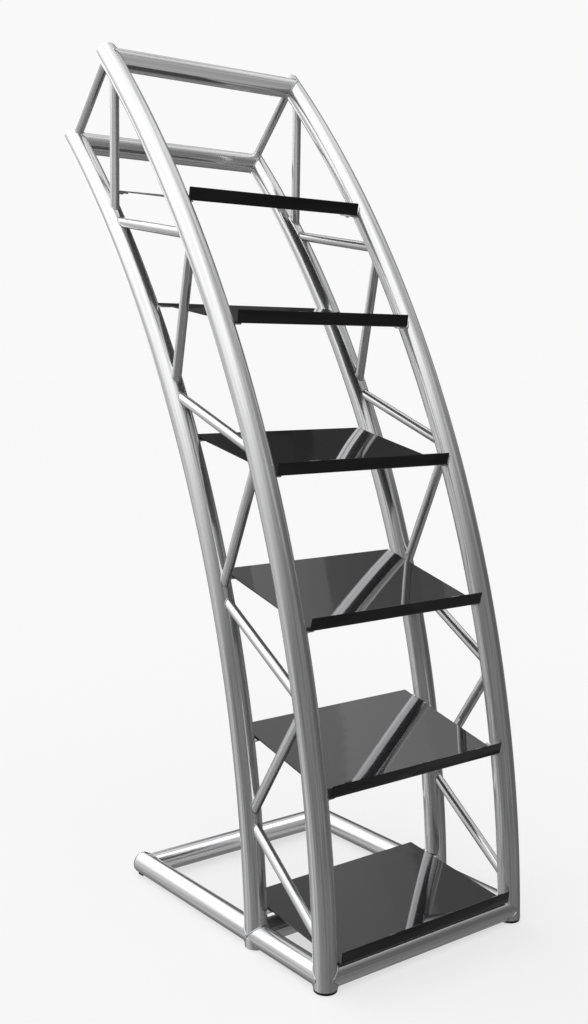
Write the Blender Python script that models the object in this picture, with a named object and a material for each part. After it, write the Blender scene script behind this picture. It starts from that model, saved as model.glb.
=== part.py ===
"""Catalogue stand: two curved tube trusses that carry six lipped shelves.

Each side frame has a front and a rear post, bent to arcs about one centre far behind the stand.
Round braces zigzag between the two posts, rails run back from them just above the floor, and
crossbars tie the two sides together at the top and along the base. Where a tube meets another
one its end is coped, so that it wraps the tube it is welded to.

Metres, +Z up. The front faces -Y and left is -X. The origin is on the floor under the middle.
"""
import math

import bmesh
import bpy
from mathutils import Matrix, Vector

# Tube and sheet stock
TUBE_D = 0.048
TUBE_WALL = 0.002
BRACE_D = 0.021
BRACE_WALL = 0.0015
SHELF_SHEET = 0.0025
LUG_SHEET = 0.003
PLUG_THICKNESS = 0.003

# Clearance left between two pieces that touch on the real stand
FIT = 0.0003

# Side frames: arcs are measured in degrees above the level of their centre
SIDE_SPACING = 0.512
FRONT_BEND_RADIUS = 2.7714
POST_SPACING = 0.223
BEND_CENTRE_DROP = 0.1367
FRONT_CROSSBAR_ANGLE = 44.84
REAR_CROSSBAR_ANGLE = 44.60
TOP_STRUT_INSET = 0.012
FRONT_NODE_ANGLES = (44.3, 34.1, 23.8, 13.6, 4.0)
REAR_NODE_ANGLES = (38.9, 28.8, 18.8, 8.5)

# Base
BASE_CLEARANCE = 0.0025
RAIL_REACH = 0.422
REAR_POST_CLEARANCE = 0.002

# Shelves, from the top one down: angle of the lip's foot up the arc, rise towards the rear in
# degrees, and how far the lip's foot stands in front of the front posts' axis
SHELF_DEPTH = 0.305
LIP_HEIGHT = 0.028
LIP_BEND = 0.004
SHELF_STATIONS = (
    (35.92, 8.0, 0.004),
    (29.53, 8.0, 0.016),
    (22.80, 11.5, 0.0105),
    (16.44, 14.5, 0.017),
    (9.86, 13.5, 0.016),
)
LOW_SHELF_TILT = 6.5
LOW_SHELF_OVERHANG = 0.019

# Lugs welded to the posts, on which the shelves are screwed down: how far they stand out, how much
# room they leave a brace beside them, how far the last one runs on past its shelf's rear edge, and
# how near its post's axis a lug comes at least
LUG_LENGTH = 0.044
LUG_REACH = 0.016
LUG_BRACE_GAP = 0.0015
LUG_OVERRUN = 0.010
LUG_BITE = 0.014

# Black push-in caps
FOOT_HEAD = 0.006
FOOT_INSET = 0.0006
FOOT_ROUND = 0.002
CAP_RIM = 0.003
SPIGOT_LENGTH = 0.016
SPIGOT_CHAMFER = 0.001
HEEL_WIDTH = 0.022
HEEL_LENGTH = 0.014
HEEL_RISE = 0.006
HEEL_INSET = 0.0005

# Fineness of the round surfaces
TUBE_SIDES = 20
BORE_SIDES = 12
BRACE_SIDES = 12
POST_STEPS = 20
BEND_STEPS = 4
OVERRUN = 0.05

# Worked out from the sizes above
TUBE_R = TUBE_D / 2
BORE_R = TUBE_R - TUBE_WALL
BRACE_R = BRACE_D / 2
HALF_SPACING = SIDE_SPACING / 2
LUG_ROOT = BRACE_R + LUG_BRACE_GAP
REAR_BEND_RADIUS = FRONT_BEND_RADIUS - POST_SPACING
BASE_Z = TUBE_R + BASE_CLEARANCE
CENTRE_Z = BASE_Z - BEND_CENTRE_DROP
SHELF_WIDTH = SIDE_SPACING - TUBE_D - 2 * FIT
SIDES = (("left", -1), ("right", 1))


def clear_scene():
    """Remove whatever the file opened with."""
    for old in list(bpy.data.objects):
        bpy.data.objects.remove(old, do_unlink=True)


def material(name, colour, roughness, metallic):
    """A plain Principled material."""
    result = bpy.data.materials.new(name)
    result.use_nodes = True
    shader = result.node_tree.nodes["Principled BSDF"]
    shader.inputs["Base Color"].default_value = (*colour, 1.0)
    shader.inputs["Roughness"].default_value = roughness
    shader.inputs["Metallic"].default_value = metallic
    return result


def on_arc(bend, angle):
    """The point of a post's axis at an angle, in the plane of its side frame."""
    turn = math.radians(angle)
    return Vector((0.0, -bend * math.cos(turn), CENTRE_Z + bend * math.sin(turn)))


def along_arc(turn):
    """The direction in which a post runs at an angle given in radians."""
    return Vector((0.0, math.sin(turn), math.cos(turn)))


def angle_at_height(bend, height):
    """The angle at which a post's axis passes a height."""
    return math.degrees(math.asin((height - CENTRE_Z) / bend))


def arc_angle(length, bend):
    """The angle that a length takes up along a bend."""
    return math.degrees(length / bend)


def add_object(name, mesh, finish=None, location=(0, 0, 0), rotation=None):
    """Link a mesh as an object of the stand."""
    result = bpy.data.objects.new(name, mesh)
    bpy.context.collection.objects.link(result)
    result.parent = stand
    result.location = location
    if rotation is not None:
        result.rotation_mode = "QUATERNION"
        result.rotation_quaternion = rotation
    if finish is None:
        result.hide_render = True
        result.display_type = "WIRE"
    elif not mesh.materials:
        mesh.materials.append(finish)
    return result


def finish_mesh(name, shape):
    """Turn a bmesh into a mesh with faces out and round surfaces smooth."""
    bmesh.ops.recalc_face_normals(shape, faces=shape.faces)
    mesh = bpy.data.meshes.new(name)
    shape.to_mesh(mesh)
    shape.free()
    mesh.shade_smooth()
    mesh.set_sharp_from_angle(angle=math.radians(40))
    return mesh


def grow(shape, faces, travel):
    """Draw flat faces out along a vector into a solid."""
    grown = bmesh.ops.extrude_face_region(shape, geom=faces, use_keep_orig=True)["geom"]
    moved = [item for item in grown if isinstance(item, bmesh.types.BMVert)]
    bmesh.ops.translate(shape, verts=moved, vec=travel)


def boolean(target, tool, operation):
    """Add an exact Boolean of a guide object."""
    cut = target.modifiers.new(f"{operation.lower()}_{tool.name}", "BOOLEAN")
    cut.operation = operation
    cut.solver = "EXACT"
    cut.object = tool


def bent_rod(name, side, bend, radius, low, high, steps, sides, finish=None, level=None, stretch=0):
    """A solid round bar swept along a post's arc, from angle low to angle high.

    Its mesh has the bend's centre at its origin. With level, the lower end is cut flat at that
    height, as a post's foot is. With stretch, both ends run on straight by that much.
    """
    turn = math.radians(low)
    half_step = math.radians(high - low) / steps / 2
    middle = Vector((0.0, -bend * math.cos(turn), bend * math.sin(turn)))
    shape = bmesh.new()
    start = bmesh.ops.create_circle(
        shape,
        cap_ends=True,
        segments=sides,
        radius=radius,
        matrix=Matrix.Translation(middle) @ Matrix.Rotation(-turn, 4, "X"),
    )["verts"]
    swept = bmesh.ops.spin(
        shape,
        geom=shape.verts[:] + shape.edges[:] + shape.faces[:],
        cent=(0, 0, 0),
        axis=(1, 0, 0),
        angle=-math.radians(high - low),
        steps=steps,
    )["geom_last"]
    last = [item for item in swept if isinstance(item, bmesh.types.BMVert)]
    lower_run = along_arc(turn + half_step)
    upper_run = along_arc(math.radians(high) - half_step)
    for corner in start:
        rise = -stretch
        if level is not None:
            rise = (level - CENTRE_Z - corner.co.z) / lower_run.z
        corner.co += lower_run * rise
    for corner in last:
        corner.co += upper_run * stretch
    place = (side * HALF_SPACING, 0, CENTRE_Z)
    return add_object(name, finish_mesh(name, shape), finish, place)


def straight_rod(name, start, end, radius, sides, finish=None):
    """A solid round bar between two points, used as a guide for cutting."""
    run = end - start
    shape = bmesh.new()
    bmesh.ops.create_cone(
        shape, cap_ends=True, segments=sides, radius1=radius, radius2=radius, depth=run.length
    )
    turn = Vector((0, 0, 1)).rotation_difference(run)
    return add_object(name, finish_mesh(name, shape), finish, (start + end) / 2, turn)


def straight_tube(name, start, end, radius, wall, sides, finish):
    """A straight tube with an open bore between two points."""
    run = end - start
    shape = bmesh.new()
    near = Matrix.Translation((0, 0, -run.length / 2))
    outer, inner = (
        bmesh.ops.create_circle(shape, segments=sides, radius=size, matrix=near)["verts"]
        for size in (radius, radius - wall)
    )
    ring = [
        shape.faces.new((outer[step - 1], outer[step], inner[step], inner[step - 1]))
        for step in range(sides)
    ]
    grow(shape, ring, (0, 0, run.length))
    turn = Vector((0, 0, 1)).rotation_difference(run)
    return add_object(name, finish_mesh(name, shape), finish, (start + end) / 2, turn)


def turned_mesh(name, profile, sides):
    """A closed solid turned about Z from a profile of (radius, height) points."""
    shape = bmesh.new()
    corners = [shape.verts.new((radius, 0, height)) for radius, height in profile]
    edges = [shape.edges.new(pair) for pair in zip(corners, corners[1:])]
    bmesh.ops.spin(
        shape,
        geom=corners + edges,
        cent=(0, 0, 0),
        axis=(0, 0, 1),
        angle=math.tau,
        steps=sides,
    )
    bmesh.ops.remove_doubles(shape, verts=shape.verts, dist=0.00001)
    return finish_mesh(name, shape)


def extruded_mesh(name, outline, width):
    """An outline of (y, z) points drawn out to a width, centred on X."""
    shape = bmesh.new()
    face = shape.faces.new([shape.verts.new((-width / 2, y, z)) for y, z in outline])
    grow(shape, [face], (width, 0, 0))
    return finish_mesh(name, shape)


def shelf_foot(station):
    """Where a shelf's lip meets its plate, on the stand's middle plane, and the shelf's rise."""
    angle, tilt, overhang = station
    return on_arc(FRONT_BEND_RADIUS + overhang, angle), math.radians(tilt)


def low_shelf_foot():
    """The lowest shelf lies on the front crossbar, so its height follows from its rise."""
    tilt = math.radians(LOW_SHELF_TILT)
    bar_y = on_arc(FRONT_BEND_RADIUS, angle_at_height(FRONT_BEND_RADIUS, BASE_Z)).y
    foot_y = bar_y - LOW_SHELF_OVERHANG
    touch = (TUBE_R + FIT) / math.cos(tilt)
    return Vector((0.0, foot_y, BASE_Z + touch - LOW_SHELF_OVERHANG * math.tan(tilt))), tilt


def crossing(foot, tilt, bend):
    """How far behind a shelf's foot its plate passes the axis of a post."""
    out = foot - Vector((0, 0, CENTRE_Z))
    along = out.y * math.cos(tilt) + out.z * math.sin(tilt)
    return -along - math.sqrt(along * along - out.length_squared + bend * bend)


def make_lugs(name, side, bend, shelves):
    """Guides for the tabs that stand out of a post's inner side under the shelves.

    A tab is centred on its post as far as the shelf's two ends allow. Where the post stands
    farther off, the tab is made longer, so that it lies under the shelf and still meets the post.
    """
    shape = bmesh.new()
    inner = HALF_SPACING - TUBE_R - LUG_REACH
    outer = HALF_SPACING - LUG_ROOT
    for foot, tilt in shelves:
        post = crossing(foot, tilt, bend)
        start = min(post - LUG_LENGTH / 2, SHELF_DEPTH + LUG_OVERRUN - LUG_LENGTH)
        start = max(start, LIP_BEND)
        end = max(start + LUG_LENGTH, post - LUG_BITE)
        place = Matrix.Translation(foot) @ Matrix.Rotation(tilt, 4, "X")
        middle = Vector((side * (inner + outer) / 2, (start + end) / 2, -FIT - LUG_SHEET / 2))
        size = Matrix.Diagonal((outer - inner, end - start, LUG_SHEET, 1))
        bmesh.ops.create_cube(shape, size=1, matrix=place @ Matrix.Translation(middle) @ size)
    return add_object(name, finish_mesh(name, shape))


def make_post(name, side, bend, foot_z, top, shelves):
    """A bent post with its lugs, its bore, its end plug and the guide that copes its neighbours."""
    low = angle_at_height(bend, foot_z)
    arc = (low, top, POST_STEPS)
    post = bent_rod(name, side, bend, TUBE_R, *arc, TUBE_SIDES, aluminium, level=foot_z)
    lugs = make_lugs(f"{name}_lugs", side, bend, shelves)
    bore = bent_rod(f"{name}_bore", side, bend, BORE_R, *arc, BORE_SIDES, stretch=OVERRUN)
    boolean(post, lugs, "UNION")
    boolean(post, bore, "DIFFERENCE")
    plug_low = top - arc_angle(PLUG_THICKNESS, bend)
    plug_name = name.replace("post", "top_plug")
    bent_rod(plug_name, side, bend, BORE_R - FIT, plug_low, top, 1, BORE_SIDES, aluminium)
    return bent_rod(f"{name}_cope", side, bend, TUBE_R + FIT, *arc, TUBE_SIDES, stretch=OVERRUN)


def make_side(label, side, shelves):
    """One side frame: two posts, nine braces, two rails, and their plugs and caps."""
    middle = Vector((side * HALF_SPACING, 0, 0))
    front_end = FRONT_CROSSBAR_ANGLE + arc_angle(TUBE_R, FRONT_BEND_RADIUS)
    rear_end = REAR_CROSSBAR_ANGLE + arc_angle(TUBE_R, REAR_BEND_RADIUS)
    front_cope = make_post(
        f"{label}_front_post", side, FRONT_BEND_RADIUS, FOOT_HEAD, front_end, shelves[:-1]
    )
    rear_cope = make_post(
        f"{label}_rear_post", side, REAR_BEND_RADIUS, REAR_POST_CLEARANCE, rear_end, shelves
    )
    strut_cope = make_braces(label, middle, front_end, rear_end, front_cope, rear_cope)
    make_rails(label, middle, front_cope, rear_cope)
    make_foot(label, side)
    make_rear_plug(label, side)
    rail_axis = middle + Vector((0, 0, BASE_Z))
    rail_cope = straight_rod(
        f"{label}_rail_cope",
        rail_axis + Vector((0, FRONT_POST_Y, 0)),
        rail_axis + Vector((0, RAIL_END_Y + OVERRUN, 0)),
        TUBE_R + FIT,
        TUBE_SIDES,
    )
    return front_cope, rear_cope, rail_cope, strut_cope


def make_braces(label, middle, front_end, rear_end, front_cope, rear_cope):
    """The top strut and the zigzag below it, each end coped to its post.

    It gives the guide that keeps the top crossbars' ends clear of the strut.
    """
    strut_front = front_end - arc_angle(TOP_STRUT_INSET, FRONT_BEND_RADIUS)
    strut_rear = rear_end - arc_angle(TOP_STRUT_INSET, REAR_BEND_RADIUS)
    ends = [(strut_front, strut_rear)]
    for number, rear in enumerate(REAR_NODE_ANGLES):
        ends.append((FRONT_NODE_ANGLES[number], rear))
        ends.append((FRONT_NODE_ANGLES[number + 1], rear))
    for number, (front, rear) in enumerate(ends):
        brace = straight_tube(
            f"{label}_brace_{number}",
            middle + on_arc(FRONT_BEND_RADIUS, front),
            middle + on_arc(REAR_BEND_RADIUS, rear),
            BRACE_R,
            BRACE_WALL,
            BRACE_SIDES,
            aluminium,
        )
        boolean(brace, front_cope, "DIFFERENCE")
        boolean(brace, rear_cope, "DIFFERENCE")
    strut_start = middle + on_arc(FRONT_BEND_RADIUS, strut_front)
    strut_end = middle + on_arc(REAR_BEND_RADIUS, strut_rear)
    return straight_rod(f"{label}_strut_cope", strut_start, strut_end, BRACE_R + FIT, BRACE_SIDES)


def make_rails(label, middle, front_cope, rear_cope):
    """The floor rail, in one length between the posts and one behind them, and its end cap."""
    axis = middle + Vector((0, 0, BASE_Z))
    front = axis + Vector((0, FRONT_POST_Y, 0))
    joint = axis + Vector((0, REAR_POST_Y, 0))
    end = axis + Vector((0, RAIL_END_Y, 0))
    between = straight_tube(
        f"{label}_rail_front", front, joint, TUBE_R, TUBE_WALL, TUBE_SIDES, aluminium
    )
    boolean(between, front_cope, "DIFFERENCE")
    boolean(between, rear_cope, "DIFFERENCE")
    behind = straight_tube(
        f"{label}_rail_rear", joint, end, TUBE_R, TUBE_WALL, TUBE_SIDES, aluminium
    )
    boolean(behind, rear_cope, "DIFFERENCE")
    make_rail_cap(label, end)


def spigot_profile(head):
    """The outline of a push-in spigot that stands on a head of some thickness."""
    radius = BORE_R * math.cos(math.pi / BORE_SIDES) - FIT
    top = head + SPIGOT_LENGTH
    return [(radius, head), (radius, top - SPIGOT_CHAMFER), (radius - SPIGOT_CHAMFER, top), (0, top)]


def make_foot(label, side):
    """The black foot under a front post: a flat head with a round edge, and a spigot above it."""
    head_r = TUBE_R - FOOT_INSET
    head = FOOT_HEAD - FIT
    profile = [(0, 0)]
    for step in range(BEND_STEPS + 1):
        turn = math.radians(90 * step / BEND_STEPS)
        across = head_r - FOOT_ROUND * (1 - math.sin(turn))
        profile.append((across, FOOT_ROUND * (1 - math.cos(turn))))
    profile.append((head_r, head))
    mesh = turned_mesh(f"{label}_front_foot", profile + spigot_profile(head), TUBE_SIDES)
    low = math.radians(angle_at_height(FRONT_BEND_RADIUS, FOOT_HEAD))
    for corner in mesh.vertices:
        corner.co.y += (corner.co.z - head) * math.tan(low)
    foot_y = on_arc(FRONT_BEND_RADIUS, math.degrees(low)).y
    add_object(f"{label}_front_foot", mesh, plastic, (side * HALF_SPACING, foot_y, 0))


def make_rear_plug(label, side):
    """The disc that closes a rear post's lower end, flush with it."""
    low = angle_at_height(REAR_BEND_RADIUS, REAR_POST_CLEARANCE)
    high = low + arc_angle(PLUG_THICKNESS, REAR_BEND_RADIUS)
    bent_rod(
        f"{label}_rear_post_plug",
        side,
        REAR_BEND_RADIUS,
        BORE_R - FIT,
        low,
        high,
        1,
        BORE_SIDES,
        aluminium,
        level=REAR_POST_CLEARANCE,
    )


def make_rail_cap(label, end):
    """The black cap in a rail's rear end, with a heel under the rail that stands on the floor."""
    rim = CAP_RIM
    profile = [(0, 0), (TUBE_R, 0), (TUBE_R, rim - FIT)] + spigot_profile(rim - FIT)
    turn = Matrix.Rotation(math.radians(90), 4, "X")
    mesh = turned_mesh(f"{label}_rail_cap", profile, TUBE_SIDES)
    mesh.transform(turn)
    place = end + Vector((0, rim, 0))
    cap = add_object(f"{label}_rail_cap", mesh, plastic, place)
    back = -HEEL_INSET
    face = -rim + FIT + HEEL_INSET
    under = -TUBE_R - FIT
    floor = -end.z
    outline = [
        (-rim - HEEL_LENGTH, floor),
        (back, floor),
        (back, under + HEEL_RISE),
        (face, under + HEEL_RISE),
        (face, under),
        (-rim - HEEL_LENGTH, under),
    ]
    heel = add_object(
        f"{label}_heel_guide",
        extruded_mesh(f"{label}_heel_guide", outline, HEEL_WIDTH),
        None,
        place,
    )
    boolean(cap, heel, "UNION")


def make_crossbar(name, point, copes):
    """A level tube between the side frames, coped to everything it meets."""
    half = Vector((HALF_SPACING, 0, 0))
    bar = straight_tube(name, point - half, point + half, TUBE_R, TUBE_WALL, TUBE_SIDES, aluminium)
    for cope in copes:
        boolean(bar, cope, "DIFFERENCE")


def shelf_mesh():
    """A shelf: a flat plate whose front edge is bent up square into a lip.

    The origin is the corner where the lip's front face and the plate's underside would meet.
    """
    outline = [(SHELF_DEPTH, 0)]
    for step in range(BEND_STEPS + 1):
        turn = math.radians(90 * step / BEND_STEPS)
        outline.append((LIP_BEND * (1 - math.sin(turn)), LIP_BEND * (1 - math.cos(turn))))
    outline += [(0, LIP_HEIGHT), (SHELF_SHEET, LIP_HEIGHT)]
    inner = LIP_BEND - SHELF_SHEET
    for step in range(BEND_STEPS, -1, -1):
        turn = math.radians(90 * step / BEND_STEPS)
        across = LIP_BEND - inner * math.sin(turn)
        outline.append((across, LIP_BEND - inner * math.cos(turn)))
    outline.append((SHELF_DEPTH, SHELF_SHEET))
    return extruded_mesh("shelf", outline, SHELF_WIDTH)


def make_shelves(shelves):
    """Six shelves from one pressing, each at its own height and rise."""
    mesh = shelf_mesh()
    for number, (foot, tilt) in enumerate(shelves, start=1):
        turn = Matrix.Rotation(tilt, 3, "X").to_quaternion()
        add_object(f"shelf_{number}", mesh, enamel, foot, turn)


def centre_on_origin():
    """Move the whole stand so that the origin is under the middle of its depth."""
    bpy.context.view_layer.update()
    graph = bpy.context.evaluated_depsgraph_get()
    depths = []
    for item in bpy.context.scene.objects:
        if item.type == "MESH" and not item.hide_render:
            seen = item.evaluated_get(graph)
            depths += [(seen.matrix_world @ corner.co).y for corner in seen.data.vertices]
    stand.location.y = -(min(depths) + max(depths)) / 2
    bpy.context.view_layer.update()


clear_scene()
stand = bpy.data.objects.new("stand", None)
bpy.context.collection.objects.link(stand)
aluminium = material("polished_tube", (0.72, 0.72, 0.73), 0.15, 1.0)
enamel = material("black_enamel", (0.012, 0.012, 0.013), 0.12, 0.0)
plastic = material("black_plastic", (0.02, 0.02, 0.02), 0.45, 0.0)

FRONT_POST_Y = on_arc(FRONT_BEND_RADIUS, angle_at_height(FRONT_BEND_RADIUS, BASE_Z)).y
REAR_POST_Y = on_arc(REAR_BEND_RADIUS, angle_at_height(REAR_BEND_RADIUS, BASE_Z)).y
REAR_CROSSBAR_Y = REAR_POST_Y + RAIL_REACH
RAIL_END_Y = REAR_CROSSBAR_Y + TUBE_R - CAP_RIM

stations = [shelf_foot(station) for station in SHELF_STATIONS] + [low_shelf_foot()]
make_shelves(stations)
guides = [make_side(label, side, stations) for label, side in SIDES]
front_copes, rear_copes, rail_copes, strut_copes = zip(*guides)

base_front = Vector((0, FRONT_POST_Y, BASE_Z))
base_middle = Vector((0, REAR_POST_Y, BASE_Z))
base_rear = Vector((0, REAR_CROSSBAR_Y, BASE_Z))
top_front = on_arc(FRONT_BEND_RADIUS, FRONT_CROSSBAR_ANGLE)
top_rear = on_arc(REAR_BEND_RADIUS, REAR_CROSSBAR_ANGLE)
make_crossbar("top_front_crossbar", top_front, front_copes + strut_copes)
make_crossbar("top_rear_crossbar", top_rear, rear_copes + strut_copes)
make_crossbar("base_front_crossbar", base_front, front_copes + rail_copes)
make_crossbar("base_middle_crossbar", base_middle, rear_copes + rail_copes)
make_crossbar("base_rear_crossbar", base_rear, rail_copes)
centre_on_origin()
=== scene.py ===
# %% [markdown]
# # A catalogue stand in polished tube and black shelves
#
# This file dresses a finished construction model. The model, called the frame here, already has
# every tube, shelf and cap at its real place. What is missing is everything a camera sees up
# close: truly round tube walls, weld beads, the drawn and polished skin of the aluminium, and the
# deep gloss of the shelves. The steps below add those one at a time, and read all their places
# from the frame, so nothing has to be fitted by eye.

# %% Load the frame
import math

import bmesh
import bpy
from mathutils import Matrix, Vector


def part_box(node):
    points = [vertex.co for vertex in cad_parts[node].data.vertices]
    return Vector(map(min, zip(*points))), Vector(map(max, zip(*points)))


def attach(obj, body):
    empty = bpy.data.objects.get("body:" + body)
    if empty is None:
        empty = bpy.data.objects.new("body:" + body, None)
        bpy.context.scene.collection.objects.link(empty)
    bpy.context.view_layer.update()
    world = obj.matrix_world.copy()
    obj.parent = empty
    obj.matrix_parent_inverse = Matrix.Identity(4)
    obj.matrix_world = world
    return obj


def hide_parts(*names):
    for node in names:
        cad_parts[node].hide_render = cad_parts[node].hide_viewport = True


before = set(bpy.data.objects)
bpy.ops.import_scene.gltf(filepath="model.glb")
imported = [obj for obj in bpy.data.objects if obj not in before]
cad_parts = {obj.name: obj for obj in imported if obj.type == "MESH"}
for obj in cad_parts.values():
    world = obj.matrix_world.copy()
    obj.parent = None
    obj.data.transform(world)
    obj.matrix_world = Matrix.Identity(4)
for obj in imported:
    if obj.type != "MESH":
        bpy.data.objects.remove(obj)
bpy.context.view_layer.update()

# %% [markdown]
# ## Reading the sizes off the frame
#
# A maker would measure the stand with a tape. Here the boxes around the frame's pieces do that job:
# a crossbar's box gives the tube's radius and the height of the base, and a rail's box gives how
# far out the side frames are. Only what a box can't tell, such as the bend of the posts, is written
# down as a size.

# %% Sizes in metres
BEND_FRONT = 2.7714  # radius of the front posts' axis
BEND_REAR = 2.5484  # radius of the rear posts' axis, about the same centre
BEND_DROP = 0.1367  # how far that centre is below the base tubes' axis


def centre_of(node):
    """The middle of a frame piece's box."""
    low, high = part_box(node)
    return (low + high) / 2


def size_of(node):
    """The three sides of a frame piece's box."""
    low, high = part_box(node)
    return high - low


TUBE_R = size_of("base_rear_crossbar").z / 2
BRACE_R = size_of("left_brace_4").x / 2
HALF_SPACING = centre_of("right_rail_rear").x
BASE_Z = centre_of("base_rear_crossbar").z
FRONT_Y = centre_of("base_front_crossbar").y
BEND_Z = BASE_Z - BEND_DROP
BEND_Y = FRONT_Y + math.sqrt(BEND_FRONT**2 - BEND_DROP**2)
SIDES = (("left", -1), ("right", 1))
BENDS = {"front": BEND_FRONT, "rear": BEND_REAR}
print("tube radius", round(TUBE_R, 4), "brace radius", round(BRACE_R, 4))

# %% [markdown]
# ## Small helpers for materials
#
# Colours are picked on a screen as hex values, but the renderer computes with linear light, so one
# function converts them. Another adds a shader node, sets it and links it in a single line, which
# keeps each material below short enough to read as a recipe. Real surfaces are never even, so the
# last one lets a pattern vary how rough a surface is, or raise a fine relief on it.

# %% Colour and node helpers


def linear(hex_colour):
    """A linear colour with alpha from an sRGB hex value such as "#808080"."""
    parts = [int(hex_colour[place : place + 2], 16) / 255 for place in (1, 3, 5)]
    steps = [part / 12.92 if part <= 0.04045 else ((part + 0.055) / 1.055) ** 2.4 for part in parts]
    return (*steps, 1.0)


def add(tree, kind, links=(), **settings):
    """Add a node. links are (from socket, input name); settings are properties or inputs."""
    node = tree.nodes.new(kind)
    for name, value in settings.items():
        if hasattr(node, name):
            setattr(node, name, value)
        else:
            node.inputs[name.replace("_", " ").title()].default_value = value
    for source, target in links:
        tree.links.new(source, node.inputs[target])
    return node


def new_material(name, colour, roughness, metallic=0.0):
    """A Principled material. It gives the node tree and the shader."""
    result = bpy.data.materials.new(name)
    result.use_nodes = True
    shader = result.node_tree.nodes["Principled BSDF"]
    shader.inputs["Base Color"].default_value = linear(colour)
    shader.inputs["Roughness"].default_value = roughness
    shader.inputs["Metallic"].default_value = metallic
    print("finish:", name)
    return result, result.node_tree, shader


def vary(tree, shader, rough=None, relief=None, span=(0.0, 1.0)):
    """Let patterns vary a surface: rough is (pattern, lowest, highest) for the pattern's values
    over span, and relief is (pattern, strength, depth in metres)."""
    if rough:
        low, high = span
        levels = {"from_min": low, "from_max": high, "to_min": rough[1], "to_max": rough[2]}
        spread = add(tree, "ShaderNodeMapRange", [(rough[0], "Value")], **levels)
        tree.links.new(spread.outputs[0], shader.inputs["Roughness"])
    if relief:
        pattern, strength, depth = relief
        bump = add(tree, "ShaderNodeBump", [(pattern, "Height")], strength=strength, distance=depth)
        tree.links.new(bump.outputs[0], shader.inputs["Normal"])


print("mid grey is", round(linear("#808080")[0], 3), "in linear light")


# %% [markdown]
# ## Polished aluminium tube
#
# The frame is drawn aluminium tube, polished along its length. Drawing leaves fine die lines that
# run the whole length of a tube, and polishing rounds them off without removing them, so a
# highlight stays a long clean streak that looks slightly combed. Two noises do this: one stretched
# some four hundred times along the tube for the die lines, and a broad faint one for the haze that
# hands leave. Real die lines lie a few tenths of a millimetre apart, too fine to show, so they are
# drawn coarser. A metallic a little under one leaves some even grey, as the haze on real polished
# aluminium does. Every tube made below carries a map in metres, around the tube and along it, so
# the lines follow the bends of the posts.

# %% Tube material
DIE_LINE_MM = 0.9  # coarser than the real ones, so that they show
DIE_LINE_RUN_MM = 400.0
HAZE_MM = 60.0
HAZE_STRETCH = 3
TUBE_METALLIC = 0.82
TUBE_ROUGH = (0.11, 0.18)
NOISES_SPAN = (0.6, 1.4)  # what the sum of two noises nearly always lies in
DIE_LINE_RELIEF = (0.04, 0.0002)


def polished_tube():
    """Drawn and polished aluminium."""
    result, tree, shader = new_material("polished_aluminium_tube", "#F4F4F5", 0.12, TUBE_METALLIC)
    place = add(tree, "ShaderNodeTexCoord").outputs["UV"]
    fine = (1000 / DIE_LINE_MM, 1000 / DIE_LINE_RUN_MM, 1)
    along = add(tree, "ShaderNodeMapping", [(place, "Vector")], scale=fine)
    lines = add(tree, "ShaderNodeTexNoise", [(along.outputs[0], "Vector")], scale=1.0, detail=2.0)
    coarse = (1000 / HAZE_MM, 1000 / HAZE_MM / HAZE_STRETCH, 1)
    broad = add(tree, "ShaderNodeMapping", [(place, "Vector")], scale=coarse)
    haze = add(tree, "ShaderNodeTexNoise", [(broad.outputs[0], "Vector")], scale=1.0, detail=3.0)
    noises = [(lines.outputs[0], 0), (haze.outputs[0], 1)]
    both = add(tree, "ShaderNodeMath", noises, operation="ADD").outputs[0]
    relief = (lines.outputs[0], *DIE_LINE_RELIEF)
    vary(tree, shader, (both, *TUBE_ROUGH), relief, span=NOISES_SPAN)
    return result


TUBE_SKIN = polished_tube()

# %% [markdown]
# ## The welds
#
# A weld bead on aluminium is the same metal, melted and frozen again in small overlapping drops.
# It is left as it comes from the torch or lightly brushed, so it is a little duller and whiter than
# the polished tube beside it. Its drops are real geometry further down; the material only adds the
# fine frozen grain, about a millimetre across.

# %% Weld material
WELD_GRAIN_MM = 1.0
WELD_ROUGH = (0.22, 0.38)


def weld_metal():
    """Aluminium filler, brushed after welding."""
    result, tree, shader = new_material("brushed_weld_bead", "#D9DADC", 0.3, 1.0)
    place = add(tree, "ShaderNodeTexCoord").outputs["Object"]
    pitch = 1000 / WELD_GRAIN_MM
    grain = add(tree, "ShaderNodeTexNoise", [(place, "Vector")], scale=pitch, detail=2.0)
    vary(tree, shader, (grain.outputs[0], *WELD_ROUGH))
    return result


WELD_SKIN = weld_metal()

# %% [markdown]
# ## Turned plugs
#
# The discs that close the tube ends are turned on a lathe, which leaves fine rings round their
# middle, about a third of a millimetre apart. A wave texture in rings gives that turned face. It is
# driven by the map that the ring helper further down writes on every closed end, in metres from the
# middle, so the rings are always centred.

# %% Plug material
TURNING_MM = 0.7  # coarser than the real rings, so that they show
TURNING_RELIEF = (0.15, 0.0001)


def turned_disc():
    """Aluminium faced on a lathe."""
    result, tree, shader = new_material("lathe_faced_aluminium", "#DCDDDF", 0.24, 1.0)
    place = add(tree, "ShaderNodeTexCoord").outputs["UV"]
    rings = add(
        tree,
        "ShaderNodeTexWave",
        [(place, "Vector")],
        wave_type="RINGS",
        rings_direction="SPHERICAL",
        scale=1000 / TURNING_MM / math.tau,
    )
    vary(tree, shader, relief=(rings.outputs[1], *TURNING_RELIEF))
    return result


PLUG_SKIN = turned_disc()

# %% [markdown]
# ## Zinc-plated screws
#
# The screws are pressed steel under bright zinc. Zinc settles as small crystals, each a slightly
# different grey, which a cell texture gives. Mixed between two close greys it stays as faint as the
# real plating.

# %% Screw material
SPANGLE_MM = 10 / 9


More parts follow.
